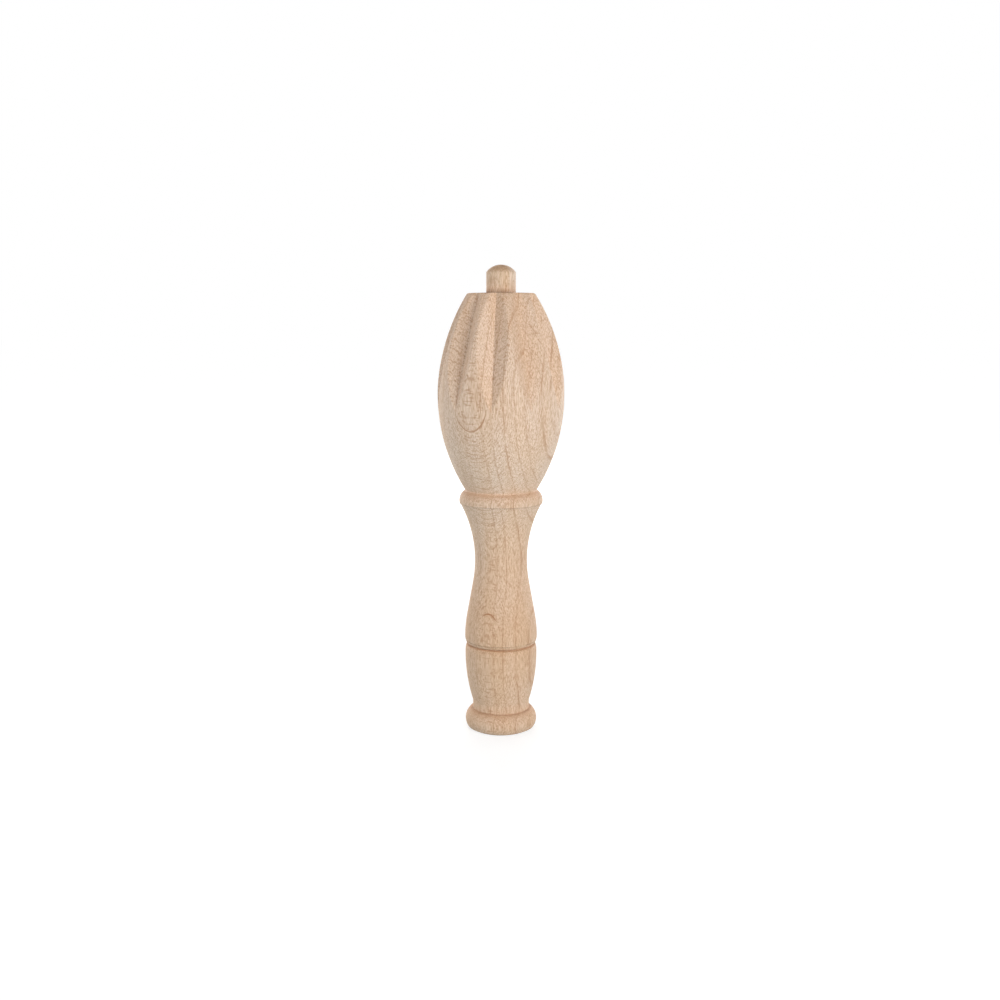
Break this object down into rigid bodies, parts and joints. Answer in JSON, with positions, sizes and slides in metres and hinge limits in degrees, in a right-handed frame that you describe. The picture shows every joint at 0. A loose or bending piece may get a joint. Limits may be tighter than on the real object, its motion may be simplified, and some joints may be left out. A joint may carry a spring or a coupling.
{
  "type": "citrus reamer",
  "caption": "Hand-held wooden citrus reamer: a turned body with a fluted barrel head, waisted handle and beaded foot, and a domed dowel glued in its tip.",
  "frame": {"origin": "middle of the flat under the foot, which the reamer stands on", "axes": "+Z along the turning axis from the foot to the tip; -Y is the front, where one flute lies 8.5 degrees left of the middle"},
  "size_m": [0.0428, 0.0428, 0.16],
  "materials": {
    "turned_beech": "sanded, unfinished",
    "beech_dowel": "sanded, unfinished"
  },
  "bodies": {
    "root": {"reamer_body": "turned_beech", "tip_dowel": "beech_dowel"}
  },
  "joints": []
}
